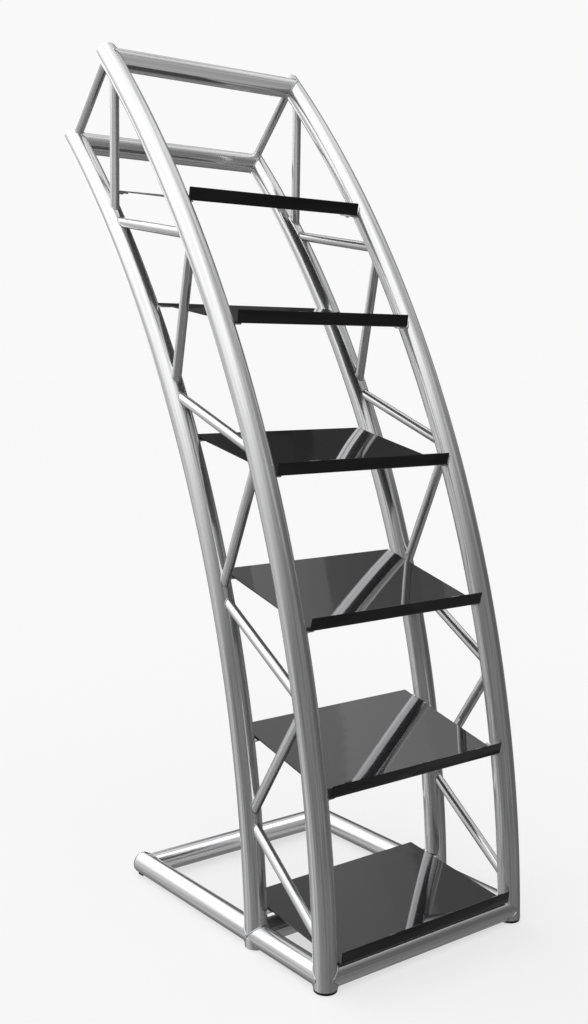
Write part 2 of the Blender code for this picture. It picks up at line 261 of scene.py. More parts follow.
def zinc_screw():
    """Bright zinc plate on a pressed steel screw."""
    result, tree, shader = new_material("bright_zinc_plate", "#B9BCC0", 0.28, 1.0)
    place = add(tree, "ShaderNodeTexCoord").outputs["Object"]
    spangle = add(tree, "ShaderNodeTexVoronoi", [(place, "Vector")], scale=1000 / SPANGLE_MM)
    tones = {"A": linear("#B2B5BA"), "B": linear("#C4C7CA")}
    share = [(spangle.outputs["Distance"], "Factor")]
    tint = add(tree, "ShaderNodeMix", share, data_type="RGBA", **tones)
    tree.links.new(tint.outputs["Result"], shader.inputs["Base Color"])
    return result


SCREW_SKIN = zinc_screw()

# %% [markdown]
# ## Black gloss enamel
#
# The shelves are sheet metal under a thick black gloss enamel, stoved hard. The coat is almost
# black, and nearly all that the eye gets from it is the mirror image of the tubes and of the room,
# stronger the flatter one looks across it. A plain gloss shader gives too little of that at
# middling angles, so a mirror is mixed in with the slant. The coat has a faint long ripple, about
# twenty-five millimetres from crest to crest, and a little dust haze.

# %% Shelf material
RIPPLE_MM = 25.0
DUST_MM = 8.0
ENAMEL_ROUGH = (0.015, 0.04)
RIPPLE_RELIEF = (0.02, 0.001)
SLANT_START = 0.40
SLANT_FULL = 0.6
SLANT_MIRROR = 0.24


def black_enamel():
    """Stoved black gloss enamel on sheet."""
    result, tree, shader = new_material("black_gloss_enamel", "#29292B", 0.06)
    place = add(tree, "ShaderNodeTexCoord").outputs["Object"]
    dust = add(tree, "ShaderNodeTexNoise", [(place, "Vector")], scale=1000 / DUST_MM, detail=4.0)
    pitch = 1000 / RIPPLE_MM
    ripple = add(tree, "ShaderNodeTexNoise", [(place, "Vector")], scale=pitch, detail=0.0)
    mirror = add(tree, "ShaderNodeBsdfPrincipled", metallic=1.0, base_color=linear("#F0F0F2"))
    relief = (ripple.outputs[0], *RIPPLE_RELIEF)
    for surface in (shader, mirror):
        vary(tree, surface, (dust.outputs[0], *ENAMEL_ROUGH), relief)
    slant = add(tree, "ShaderNodeLayerWeight", blend=0.5)
    share = add(
        tree,
        "ShaderNodeMapRange",
        [(slant.outputs["Facing"], "Value")],
        interpolation_type="SMOOTHSTEP",
        from_min=SLANT_START,
        from_max=SLANT_FULL,
        to_max=SLANT_MIRROR,
    )
    coat = add(
        tree,
        "ShaderNodeMixShader",
        [(share.outputs[0], 0), (shader.outputs[0], 1), (mirror.outputs[0], 2)],
    )
    tree.links.new(coat.outputs[0], tree.nodes["Material Output"].inputs["Surface"])
    return result


SHELF_SKIN = black_enamel()

# %% [markdown]
# ## Moulded black plastic
#
# The feet and the rail caps are injection moulded polyethylene. The mould is spark eroded, which
# gives the plastic an even fine grain, a little over half a millimetre across, and a soft waxy
# shine. One noise does both: it raises the grain and varies the roughness with it.

# %% Cap material
GRAIN_MM = 0.6
GRAIN_RELIEF = (0.25, 0.0001)
CAP_ROUGH = (0.34, 0.48)


def moulded_plastic():
    """Black polyethylene from a spark-eroded mould."""
    result, tree, shader = new_material("black_moulded_polyethylene", "#101011", 0.4)
    shader.inputs["IOR"].default_value = 1.5
    place = add(tree, "ShaderNodeTexCoord").outputs["Object"]
    grain = add(tree, "ShaderNodeTexNoise", [(place, "Vector")], scale=1000 / GRAIN_MM, detail=1.0)
    pattern = grain.outputs[0]
    vary(tree, shader, (pattern, *CAP_ROUGH), (pattern, *GRAIN_RELIEF))
    return result


CAP_SKIN = moulded_plastic()

# %% [markdown]
# ## Finishing and placing a piece
#
# Every piece below ends the same way. Its faces are turned outward, it is shaded smooth except at
# its real edges, it gets its material, and it is handed to the frame, in place of the plain solid
# that it dresses. One helper for all keeps any piece from missing a step.

# %% Finishing helpers
SHARP_ANGLE = 35


def finish_skin(mesh, shape=None):
    """Turn every face of a closed mesh outward, and smooth it between its sharp edges."""
    if shape is None:
        shape = bmesh.new()
        shape.from_mesh(mesh)
    bmesh.ops.recalc_face_normals(shape, faces=shape.faces)
    shape.to_mesh(mesh)
    shape.free()
    mesh.shade_smooth()
    mesh.set_sharp_from_angle(angle=math.radians(SHARP_ANGLE))


def put(name, data):
    """A new object in the scene."""
    thing = bpy.data.objects.new(name, data)
    bpy.context.scene.collection.objects.link(thing)
    return thing


def place_piece(name, mesh, skin, nodes=()):
    """Link a finished mesh, give it its material and let it ride on the stand."""
    mesh.materials.append(skin)
    piece = put(name, mesh)
    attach(piece, "root")
    if nodes:
        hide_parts(*nodes)


# %% [markdown]
# ## Skins made of rings
#
# Almost every piece of the stand is a tube, and a tube is a stack of rings joined by quads. One
# helper builds any such skin, closes its two ends and writes the map that the tube material wants:
# metres around, metres along. Blender's own cylinder has no way to say where a ring should stop,
# and here the rings end on saddle curves where one tube wraps another, so they are computed.

# %% Ring helpers


def circle(count):
    """The turns, in radians, of that many points round a circle."""
    return [math.tau * k / count for k in range(count)]


def ring_centre(ring):
    """The mean of a ring's corners."""
    return sum(ring, Vector()) / len(ring)


def ring_walls(rings, girth, loop):
    """The quads between the rings, and their map; loop joins the last ring to the first."""
    count = len(rings[0])
    pairs = list(zip(range(len(rings)), range(1, len(rings))))
    if loop:
        pairs.append((len(rings) - 1, 0))
    faces, spans = [], []
    travel = 0.0
    for low, high in pairs:
        reach = travel + (ring_centre(rings[high]) - ring_centre(rings[low])).length
        for k in range(count):
            after = (k + 1) % count
            under, over = low * count, high * count
            faces.append((under + k, under + after, over + after, over + k))
            left, right = girth * k / count, girth * (k + 1) / count
            spans += [(left, travel), (right, travel), (right, reach), (left, reach)]
        travel = reach
    return faces, spans


def end_fan(first, middle, count, girth, turn):
    """The triangles that close an end, and their map round its middle."""
    faces, spans = [], []
    radius = girth / math.tau
    for k in range(count)[::turn]:
        after = (k + turn) % count
        faces.append((first + k, first + after, middle))
        for angle in (k, after):
            around = math.tau * angle / count
            spans.append((radius * math.cos(around), radius * math.sin(around)))
        spans.append((0.0, 0.0))
    return faces, spans


def ring_skin(name, rings, loop=False):
    """A closed mesh through rings of equal counts."""
    count = len(rings[0])
    girth = sum((rings[0][k] - rings[0][k - 1]).length for k in range(count))
    corners = [corner for ring in rings for corner in ring]
    faces, spans = ring_walls(rings, girth, loop)
    ends = () if loop else ((0, -1), (len(rings) - 1, 1))
    for number, turn in ends:
        fan, fan_spans = end_fan(number * count, len(corners), count, girth, turn)
        corners.append(ring_centre(rings[number]))
        faces += fan
        spans += fan_spans
    mesh = bpy.data.meshes.new(name)
    mesh.from_pydata(corners, [], faces)
    layer = mesh.uv_layers.new(name="metres")
    for spot, value in zip(layer.data, spans):
        spot.uv = value
    finish_skin(mesh)
    return mesh


# %% [markdown]
# ## Bent posts
#
# A real post is one length of tube, rolled to an arc in a three-roller bender. Its skin is a circle
# carried along that arc. The rings stand square to the arc, apart from the lowest one, which is cut
# level just above the foot. At the top the skin turns over the rim and a little way down the bore,
# so that the plug sits in a real recess.

# %% Posts
TUBE_WALL = 0.002
BORE_R = TUBE_R - TUBE_WALL
PLUG_THICKNESS = 0.003
POST_SIDES = 64
POST_RINGS = 120
FOOT_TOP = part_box("left_front_post")[0].z
REAR_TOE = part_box("left_rear_post")[0].z


def on_arc(bend, turn, side):
    """A point of a post's axis at a turn in radians above the level of the bend's centre."""
    y = BEND_Y - bend * math.cos(turn)
    return Vector((side * HALF_SPACING, y, BEND_Z + bend * math.sin(turn)))


def post_ring(bend, turn, side, radius, level=None):
    """A circle round a post's axis, or its level cut at a height."""
    outward = Vector((0, -math.cos(turn), math.sin(turn)))
    along = Vector((0, math.sin(turn), math.cos(turn)))
    middle = on_arc(bend, turn, side)
    ring = []
    for around in circle(POST_SIDES):
        out = math.cos(around) * Vector((1, 0, 0)) + math.sin(around) * outward
        corner = middle + radius * out
        if level is not None:
            corner += along * ((level - corner.z) / along.z)
        ring.append(corner)
    return ring


def top_turn(post, bend):
    """Where a post ends: the crossbar beside it gives the place, one tube radius lower."""
    bar = centre_of(f"top_{post}_crossbar")
    return math.atan2(bar.z - BEND_Z, BEND_Y - bar.y) + TUBE_R / bend


def make_post(label, side, post, toe):
    """One bent post, with the recess for its top plug."""
    bend = BENDS[post]
    low = math.asin((toe - BEND_Z) / bend)
    high = top_turn(post, bend)
    rings = [post_ring(bend, low, side, TUBE_R, toe)]
    for step in range(1, POST_RINGS + 1):
        rings.append(post_ring(bend, low + (high - low) * step / POST_RINGS, side, TUBE_R))
    rings.append(post_ring(bend, high, side, BORE_R))
    rings.append(post_ring(bend, high - 2 * PLUG_THICKNESS / bend, side, BORE_R))
    node = f"{label}_{post}_post"
    place_piece(f"{node}_skin", ring_skin(node, rings), TUBE_SKIN, [node])


for label, side in SIDES:
    make_post(label, side, "front", FOOT_TOP)
    make_post(label, side, "rear", REAR_TOE)
print("posts end at", round(math.degrees(top_turn("front", BEND_FRONT)), 2), "degrees up the arc")

# %% [markdown]
# ## Straight tubes with coped ends
#
# Where a brace meets a post, the fabricator notches its end to a saddle, so that it wraps the post
# before it is welded. To get that curve, each of the tube's lengthwise lines is followed towards
# the post until it is just under the post's surface. A few halvings find the spot, which works the
# same for a brace on a bent post, a crossbar on a rail and a rail on a post.

# %% Coped tubes
SINK = 0.0002  # how far an end runs into its neighbour's skin
LINE_SIDES = 48
HALVINGS = 24


def off_post(side, bend):
    """A measure of how far a point is outside a post."""

    def measure(spot):
        around = math.hypot(spot.y - BEND_Y, spot.z - BEND_Z) - bend
        return math.hypot(around, spot.x - side * HALF_SPACING) - TUBE_R + SINK

    return measure


def off_rail(side):
    """A measure of how far a point is outside a side's floor rail."""

    def measure(spot):
        before = FRONT_Y - spot.y
        aside = math.hypot(spot.x - side * HALF_SPACING, spot.z - BASE_Z) - TUBE_R + SINK
        return max(aside, before)

    return measure


def stop_at(start, goal, measures):
    """The first point from start to goal that touches one of the measured surfaces."""
    if min(measure(goal) for measure in measures) > 0:
        return goal.copy()
    near, far = start.copy(), goal.copy()
    for _ in range(HALVINGS):
        middle = (near + far) / 2
        if min(measure(middle) for measure in measures) > 0:
            near = middle
        else:
            far = middle
    return far


def end_ring(tube, end, count):
    """The saddle curve at one end of a coped tube, with the outward direction at each point."""
    start, goal = (tube["ends"][1], tube["ends"][0]) if end == 0 else tube["ends"]
    axis = (tube["ends"][1] - tube["ends"][0]).normalized()
    across = axis.orthogonal().normalized()
    beside = axis.cross(across)
    measures = tube["stops"][end]
    middle = (start + goal) / 2
    ring = []
    for around in circle(count):
        out = math.cos(around) * across + math.sin(around) * beside
        start, spot = (point + out * tube["radius"] for point in (middle, goal))
        ring.append((stop_at(start, spot, measures) if measures else spot, out))
    return ring


def make_tube(node, tube):
    """A straight tube between its two end rings, in place of a frame piece."""
    rings = [[spot for spot, _ in end_ring(tube, end, LINE_SIDES)] for end in (0, 1)]
    place_piece(f"{node}_skin", ring_skin(node, rings), TUBE_SKIN, [node])


# %% [markdown]
# ## Weld beads
#
# Each coped end is welded all round. The bead is a thin round cord on the saddle curve, half buried
# in the joint. Its thickness pulses along the way, because a welder adds the metal drop by drop,
# here every three millimetres.

# %% Bead helpers
BEAD_R = 0.0016
BEAD_SIDES = 8
DROP_PITCH = 0.003
DROP_SWELL = 0.12
POINTS_PER_DROP = 4
SADDLE_STRETCH = 1.15  # how much longer a saddle curve is than the tube's girth


def bead_ring(k, spot, up, beside):
    """Ring k of a bead; the rings swell and shrink with the drops."""
    swell = BEAD_R * (1 + DROP_SWELL * math.cos(math.tau * k / POINTS_PER_DROP))
    turns = circle(BEAD_SIDES)
    return [spot + swell * (math.cos(turn) * up + math.sin(turn) * beside) for turn in turns]


def make_bead(name, tube, end):
    """The weld round one end of a coped tube."""
    drops = round(math.tau * tube["radius"] * SADDLE_STRETCH / DROP_PITCH)
    count = drops * POINTS_PER_DROP
    curve = end_ring(tube, end, count)
    rings = []
    for k, (spot, out) in enumerate(curve):
        along = (curve[(k + 1) % count][0] - curve[k - 1][0]).normalized()
        beside = along.cross(out).normalized()
        rings.append(bead_ring(k, spot, beside.cross(along).normalized(), beside))
    place_piece(name, ring_skin(name, rings, loop=True), WELD_SKIN)


# %% [markdown]
# ## Braces
#
# Nine thin braces a side turn two bent tubes into a truss. A brace's box can't give its ends
# exactly, because the box also holds the tube's thickness. So the places where the braces' axes
# meet the posts are written down as angles up the arc, as a fabricator would mark them.

# %% Braces
BRACE_COUNT = 9
FRONT_NODES = (44.3, 34.1, 23.8, 13.6, 4.0)
REAR_NODES = (38.9, 28.8, 18.8, 8.5)
TOP_STRUT_INSET = 0.012


def brace_ends(number):
    """The turns, in radians, at which a brace's axis meets the front and the rear post."""
    if number == 0:
        front = top_turn("front", BEND_FRONT) - TOP_STRUT_INSET / BEND_FRONT
        return front, top_turn("rear", BEND_REAR) - TOP_STRUT_INSET / BEND_REAR
    front = FRONT_NODES[number // 2]
    return math.radians(front), math.radians(REAR_NODES[(number - 1) // 2])


def make_brace(label, side, number):
    """One brace and the welds at its two ends."""
    front, rear = brace_ends(number)
    node = f"{label}_brace_{number}"
    tube = {
        "ends": (on_arc(BEND_FRONT, front, side), on_arc(BEND_REAR, rear, side)),
        "radius": BRACE_R,
        "stops": ([off_post(side, BEND_FRONT)], [off_post(side, BEND_REAR)]),
    }
    make_tube(node, tube)
    for end, word in enumerate(("front", "rear")):
        make_bead(f"{node}_{word}_weld", tube, end)


for label, side in SIDES:
    for number in range(BRACE_COUNT):
        make_brace(label, side, number)

# %% [markdown]
# ## Rails and crossbars
#
# The rails and crossbars are the same tube as the posts. The rail comes in two lengths, one between
# the posts and one behind them, and each crossbar is notched to whatever it meets: at the top only
# the posts, at the base the posts and the rails together.

# %% Rails and crossbars
REAR_Y = BEND_Y - math.sqrt(BEND_REAR**2 - BEND_DROP**2)
RAIL_END_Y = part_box("left_rail_rear")[1].y


def tube_between(node, start, goal, start_stops, goal_stops):
    """A full-size tube between two points, welded wherever it stops at another tube."""
    tube = {"ends": (start, goal), "radius": TUBE_R, "stops": (start_stops, goal_stops)}
    make_tube(node, tube)
    for end, word in enumerate(("start", "end")):
        if tube["stops"][end]:
            make_bead(f"{node}_{word}_weld", tube, end)


def make_rails(label, side):
    """The two lengths of one floor rail."""
    x = side * HALF_SPACING
    front, joint, end = (Vector((x, y, BASE_Z)) for y in (FRONT_Y, REAR_Y, RAIL_END_Y))
    on_front, on_rear = [off_post(side, BEND_FRONT)], [off_post(side, BEND_REAR)]
    tube_between(f"{label}_rail_front", front, joint, on_front, on_rear)
    tube_between(f"{label}_rail_rear", joint, end, on_rear, [])


def make_crossbar(node, stops_for):
    """One crossbar; stops_for gives what it meets on a side."""
    middle = centre_of(node)
    half = Vector((HALF_SPACING, 0, 0))
    tube_between(node, middle - half, middle + half, stops_for(-1), stops_for(1))


for label, side in SIDES:
    make_rails(label, side)
make_crossbar("top_front_crossbar", lambda side: [off_post(side, BEND_FRONT)])
make_crossbar("top_rear_crossbar", lambda side: [off_post(side, BEND_REAR)])
make_crossbar("base_front_crossbar", lambda side: [off_post(side, BEND_FRONT), off_rail(side)])
make_crossbar("base_middle_crossbar", lambda side: [off_post(side, BEND_REAR), off_rail(side)])
make_crossbar("base_rear_crossbar", lambda side: [off_rail(side)])

# %% [markdown]
# ## Pieces turned on a lathe
#
# Plugs, feet and rail caps are all round, so one helper turns a profile about an axis. A profile is
# a short list of radii and heights, with an arc wherever the real piece is rounded.

# %% Lathe helper
LATHE_SIDES = 64
ARC_STEPS = 6


def arc_points(centre_r, centre_z, radius, start, end, steps=ARC_STEPS):
    """Profile points along an arc, angles in degrees from the outward direction."""
    points = []
    for step in range(steps + 1):
        turn = math.radians(start + (end - start) * step / steps)
        points.append((centre_r + radius * math.cos(turn), centre_z + radius * math.sin(turn)))
    return points


def lathe(name, profile, place, axis):
    """A closed mesh turned about an axis through place."""
    turn = Vector((0, 0, 1)).rotation_difference(axis).to_matrix()
    rings = []
    for radius, height in profile:
        ring = []
        for around in circle(LATHE_SIDES):
            spot = Vector((radius * math.cos(around), radius * math.sin(around), height))
            ring.append(place + turn @ spot)
        rings.append(ring)
    return ring_skin(name, rings)


# %% [markdown]
# ## Plugs in the tube ends
#
# A turned disc closes each post at the top, and each rear post at the bottom. It sits just below
# the rim, with a small chamfer, so a thin dark ring shows round it.

# %% Plugs
PLUG_GAP = 0.0002
PLUG_CHAMFER = 0.0004
RIM_DEPTH = 0.0006


def make_plug(node, middle, outward):
    """A disc with its face towards outward."""
    radius = BORE_R - PLUG_GAP
    profile = [
        (radius, -PLUG_THICKNESS),
        (radius, -RIM_DEPTH - PLUG_CHAMFER),
        (radius - PLUG_CHAMFER, -RIM_DEPTH),
    ]
    mesh = lathe(node, profile, middle, outward)
    place_piece(f"{node}_disc", mesh, PLUG_SKIN, [node])


for label, side in SIDES:
    for post, bend in BENDS.items():
        turn = top_turn(post, bend)
        outward = Vector((0, math.sin(turn), math.cos(turn)))
        make_plug(f"{label}_{post}_top_plug", on_arc(bend, turn, side), outward)
    toe_turn = math.asin((REAR_TOE - BEND_Z) / BEND_REAR)
    toe = on_arc(BEND_REAR, toe_turn, side)
    make_plug(f"{label}_rear_post_plug", toe, Vector((0, 0, -1)))
print("plugs: 4 at the top, 2 at the rear toes")

# %% [markdown]
# ## Feet
#
# The front posts stand on black push-in feet: a flat head about as wide as the tube, with a rounded
# lower edge and a slightly hollow sole, and a spigot that grips the bore.

# %% Feet
FOOT_ROUND = 0.002
FOOT_INSET = 0.0006
SPIGOT_R = BORE_R - FOOT_INSET
SPIGOT = 0.012
SOLE_HOLLOW = 0.0008
SOLE_SHARE = 0.75
SOLE_MIDDLE_R = 0.004


def make_foot(label, side):
    """A foot under a front post."""
    head_r = TUBE_R - FOOT_INSET
    node = f"{label}_front_foot"
    low_turn = math.asin((FOOT_TOP - BEND_Z) / BEND_FRONT)
    place = on_arc(BEND_FRONT, low_turn, side)
    place.z = 0.0
    sole_r = head_r * SOLE_SHARE
    profile = [(SOLE_MIDDLE_R, SOLE_HOLLOW), (sole_r - SOLE_HOLLOW, SOLE_HOLLOW), (sole_r, 0.0)]
    profile += arc_points(head_r - FOOT_ROUND, FOOT_ROUND, FOOT_ROUND, -90, 0)
    profile.append((head_r, FOOT_TOP - SINK))
    profile += [(SPIGOT_R, FOOT_TOP - SINK), (SPIGOT_R, FOOT_TOP + SPIGOT)]
    mesh = lathe(node, profile, place, Vector((0, 0, 1)))
    place_piece(f"{node}_moulding", mesh, CAP_SKIN, [node])


print("feet lift the front posts", round(FOOT_TOP * 1000, 1), "mm")

# %% [markdown]
# ## Rail caps
#
# The rails' rear ends take a thin cap of the same plastic, with a small heel under the rail that
# carries it on the floor. The cap is turned like the foot. The heel is two thin boxes, a plate on
# the cap's face and a tongue that reaches forward under the tube, with all their edges eased.

# %% Rail caps
CAP_RIM = 0.003
CAP_ROUND = 0.0012
HEEL_WIDTH = 0.022
HEEL_RISE = 0.004
TONGUE_REACH = 0.017
HEEL_EASE = 0.0005


def make_rail_cap(node, end):
    """The round cap in a rail's rear end."""
    profile = [(SPIGOT_R, -SPIGOT), (SPIGOT_R, SINK), (TUBE_R, SINK)]
    profile += arc_points(TUBE_R - CAP_ROUND, CAP_RIM - CAP_ROUND, CAP_ROUND, 0, 90)
    mesh = lathe(node, profile, end, Vector((0, 1, 0)))
    place_piece(f"{node}_moulding", mesh, CAP_SKIN, [node])


def make_heel(node, end):
    """The small foot under a rail cap."""
    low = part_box(node)[0].z
    back = end.y + CAP_RIM - SINK
    plate = Vector((HEEL_WIDTH, CAP_RIM - 2 * SINK, BASE_Z - TUBE_R + HEEL_RISE - low))
    tongue = Vector((HEEL_WIDTH, TONGUE_REACH, BASE_Z - TUBE_R - low - SINK))
    shape = bmesh.new()
    for size in (plate, tongue):
        middle = Matrix.Translation((end.x, back - size.y / 2, low + size.z / 2))
        bmesh.ops.create_cube(shape, matrix=middle @ Matrix.Diagonal((*size, 1)))
    bmesh.ops.bevel(shape, geom=shape.edges[:], offset=HEEL_EASE, segments=2, affect="EDGES")
    mesh = bpy.data.meshes.new(f"{node}_heel")
    finish_skin(mesh, shape)
    place_piece(f"{node}_heel", mesh, CAP_SKIN)


for label, side in SIDES:
    make_foot(label, side)
    node = f"{label}_rail_cap"
    end = Vector((side * HALF_SPACING, RAIL_END_Y, BASE_Z))
    make_rail_cap(node, end)
    make_heel(node, end)

# %% [markdown]
# ## Shelves
#
# A shelf is one sheet, folded up square along its front. The press leaves a small round at the
# fold, and the cut edges are eased before enamelling, because enamel runs thin on a sharp edge. So
# the outline has an arc inside and outside the fold, it is drawn out to the shelf's width, and a
# narrow bevel eases every edge. The frame's boxes say where each shelf is; the angles say how it
# leans.

# %% Sheet helper
EASED_FROM = math.radians(60)  # edges sharper than this are eased


def sheet_skin(name, outline, grow, ease, steps, place):
    """A flat outline grown to a solid, its sharp edges eased, and moved to its place."""
    shape = bmesh.new()
    face = shape.faces.new([shape.verts.new(corner) for corner in outline])
    grown = bmesh.ops.extrude_face_region(shape, geom=[face], use_keep_orig=True)["geom"]
    moved = [item for item in grown if isinstance(item, bmesh.types.BMVert)]
    bmesh.ops.translate(shape, verts=moved, vec=grow)
    bmesh.ops.recalc_face_normals(shape, faces=shape.faces)
    sharp = [edge for edge in shape.edges if edge.calc_face_angle(0) > EASED_FROM]
    bmesh.ops.bevel(shape, geom=sharp, offset=ease, segments=steps, affect="EDGES")
    shape.transform(place)
    mesh = bpy.data.meshes.new(name)
    finish_skin(mesh, shape)
    return mesh


# %% Shelves
SHELF_DEPTH = 0.305
SHELF_SHEET = 0.0025
LIP_HEIGHT = 0.028
LIP_BEND = 0.004
EDGE_EASE = 0.0006
FOLD_STEPS = 10
SHELF_TILTS = (8.0, 8.0, 11.5, 14.5, 13.5, 6.5)
SHELVES = range(1, len(SHELF_TILTS) + 1)


def shelf_outline():
    """The folded sheet from the side, as (depth, height) points."""
    outline = [(SHELF_DEPTH, 0.0)]
    outline += arc_points(LIP_BEND, LIP_BEND, LIP_BEND, -90, -180, FOLD_STEPS)
    outline += [(0.0, LIP_HEIGHT), (SHELF_SHEET, LIP_HEIGHT)]
    outline += arc_points(LIP_BEND, LIP_BEND, LIP_BEND - SHELF_SHEET, -180, -90, FOLD_STEPS)
    outline.append((SHELF_DEPTH, SHELF_SHEET))
    return outline


def shelf_foot(number):
    """The corner where a shelf's lip and underside would meet, from the frame's box."""
    low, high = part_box(f"shelf_{number}")
    tilt = math.radians(SHELF_TILTS[number - 1])
    y = low.y + LIP_HEIGHT * math.sin(tilt)
    rear = Vector((0, SHELF_DEPTH * math.cos(tilt), SHELF_DEPTH * math.sin(tilt)))
    back_top = rear.z + SHELF_SHEET * math.cos(tilt)
    return Vector((0, y, high.z - back_top)), tilt


def shelf_place(number):
    """Where a shelf stands and how it leans."""
    foot, tilt = shelf_foot(number)
    return Matrix.Translation(foot) @ Matrix.Rotation(tilt, 4, "X")


def make_shelf(node, place):
    """One enamelled shelf."""
    width = size_of(node).x
    outline = [(-width / 2, y, z) for y, z in shelf_outline()]
    mesh = sheet_skin(f"{node}_sheet", outline, (width, 0, 0), EDGE_EASE, 3, place)
    place_piece(f"{node}_enamelled", mesh, SHELF_SKIN, [node])


for number in SHELVES:
    make_shelf(f"shelf_{number}", shelf_place(number))
print("shelves:", len(SHELVES), "of", round(size_of("shelf_1").x * 1000), "mm width")

# %% [markdown]
# ## Lugs under the shelves
#
# The shelves hang on nothing that shows: under each end sits a pair of lugs, strips of three
# millimetre aluminium welded to the inner side of the posts, and a screw goes up through each. The
# frame's posts carry these lugs as plain blocks, in one solid with the tube. Here every lug is a
# strip of its own, with its free corners rounded and its edges eased. It runs on into the post, and
# a weld covers the line where it enters. The lowest shelf only has the pair at its rear.

# %% Lug strips
LUG_SHEET = 0.003
LUG_GAP = 0.0003
LUG_LOW = -LUG_GAP - LUG_SHEET
LUG_LENGTH = 0.044
LUG_REACH = 0.016
LUG_ROOT_GAP = 0.0015  # between the end inside the post and the braces' line
LUG_OVERRUN = 0.010
LUG_BITE = 0.014
LUG_CORNER = 0.005

LUG_EASE = 0.0004


def lug_span(foot, tilt, bend):
    """Where a lug starts and ends, measured along the shelf from its front corner."""
    along = (foot.y - BEND_Y) * math.cos(tilt) + (foot.z - BEND_Z) * math.sin(tilt)
    away = (foot.y - BEND_Y) ** 2 + (foot.z - BEND_Z) ** 2
    post = -along - math.sqrt(along**2 - away + bend**2)
    start = max(min(post - LUG_LENGTH / 2, SHELF_DEPTH + LUG_OVERRUN - LUG_LENGTH), LIP_BEND)
    return start, max(start + LUG_LENGTH, post - LUG_BITE)


def lug_ends(side):
    """How far out a lug's free end and its end inside the post are."""
    inner = side * (HALF_SPACING - TUBE_R - LUG_REACH)
    return inner, side * (HALF_SPACING - BRACE_R - LUG_ROOT_GAP)


def lug_outline(side, start, end):
    """The strip from above: two square corners in the post, two rounded ones under the shelf."""
    inner, outer = lug_ends(side)
    corners = [(outer, start, LUG_LOW)]
    for middle, first in ((start + LUG_CORNER, -90), (end - LUG_CORNER, 0)):
        for reach, y in arc_points(0, middle, LUG_CORNER, first, first + 90):
            corners.append((inner + side * (LUG_CORNER - reach), y, LUG_LOW))
    corners.append((outer, end, LUG_LOW))
    return corners


def make_lug(name, side, span, place):
    """One strip, in the shelf's own slope."""
    outline = lug_outline(side, *span)
    mesh = sheet_skin(name, outline, (0, 0, LUG_SHEET), LUG_EASE, 2, place)
    place_piece(name, mesh, TUBE_SKIN)


print("lugs are", round(LUG_LENGTH * 1000), "mm long and reach", round(LUG_REACH * 1000), "mm out")


# %% [markdown]
# ## The lugs' welds
#
# A lug is welded along its underside, where the torch can reach. The bead follows the line on which
# the strip meets the round post, found by the same halvings as the coped ends, and only where the
# strip is really inside the post.

# %% Lug welds
BEAD_STEPS = 40


def weld_line(side, bend, span, place):
    """The points where a lug's underside meets its post."""
    inner, outer = lug_ends(side)
    curve = []
    for step in range(BEAD_STEPS + 1):
        y = span[0] + (span[1] - span[0]) * step / BEAD_STEPS
        start, goal = (place @ Vector((x, y, LUG_LOW)) for x in (inner, outer))
        if off_post(side, bend)(goal) < 0:
            curve.append(stop_at(start, goal, [off_post(side, bend)]))
    return curve


def lug_weld(name, side, bend, span, place):
    """The bead between a lug's underside and its post."""
    curve = weld_line(side, bend, span, place)
    up = place.to_3x3() @ Vector((0, 0, 1))
    rings = []
    for k, spot in enumerate(curve):
        along = (curve[min(k + 1, len(curve) - 1)] - curve[max(k - 1, 0)]).normalized()
        rings.append(bead_ring(k, spot, up, along.cross(up).normalized()))
    place_piece(name, ring_skin(name, rings), WELD_SKIN)


# %% [markdown]
# ## The lugs' screws
#
# The screw is a plain zinc-plated button head with a six-sided socket. Its head is built of rings
# like everything else: the rings outside are round, the ones inside the socket have six flats.

# %% Screws
SCREW_HEAD_R = 0.0048
SCREW_HEAD_HEIGHT = 0.0028
SCREW_EDGE = 0.0006
SCREW_DOME = SCREW_HEAD_HEIGHT - SCREW_EDGE
DOME_TURNS = (30, 55, 70)
SOCKET_FLAT = 0.0015
SOCKET_DEPTH = 0.0016
SCREW_SIDES = 48


def screw_ring(radius, height, flats=False):
    """A ring of the screw: round, or with six flats at that distance."""
    ring = []
    for around in circle(SCREW_SIDES):
        off_middle = around % (math.tau / 6) - math.tau / 12
        reach = radius / math.cos(off_middle) if flats else radius
        ring.append(Vector((reach * math.cos(around), reach * math.sin(around), -height)))
    return ring


def make_screw(name, place):
    """A button head with its socket, hanging from a lug's underside."""
    rings = [screw_ring(SCREW_HEAD_R, 0.0), screw_ring(SCREW_HEAD_R, SCREW_EDGE)]
    for turn in map(math.radians, DOME_TURNS):
        height = SCREW_EDGE + SCREW_DOME * math.sin(turn)
        rings.append(screw_ring(SCREW_HEAD_R * math.cos(turn), height))
    for height in (SCREW_HEAD_HEIGHT, SCREW_HEAD_HEIGHT - SOCKET_DEPTH):
        rings.append(screw_ring(SOCKET_FLAT, height, flats=True))
    mesh = ring_skin(name, [[place @ spot for spot in ring] for ring in rings])
    place_piece(name, mesh, SCREW_SKIN)


# %% [markdown]
# ## Hanging the shelves
#
# Each lug, its weld and its screw share the slope of the shelf above them, so they are made in the
# shelf's own directions and turned with it. The lug's place follows from where the shelf's line
# crosses the arc of the post.

# %% Lugs of every shelf
SCREW_INSET = 0.0075
NO_FRONT_LUGS = (6,)


def hang_shelf(number, post):
    """The two lugs of a shelf on a pair of posts, with their welds and screws."""
    slope = shelf_place(number)
    span = lug_span(*shelf_foot(number), BENDS[post])
    for label, side in SIDES:
        name = f"{label}_{post}_lug_{number}"
        make_lug(name, side, span, slope)
        lug_weld(f"{name}_weld", side, BENDS[post], span, slope)
        x = side * (HALF_SPACING - TUBE_R - LUG_REACH + SCREW_INSET)
        head = Matrix.Translation((x, sum(span) / 2, LUG_LOW))
        make_screw(f"{name}_screw", slope @ head)


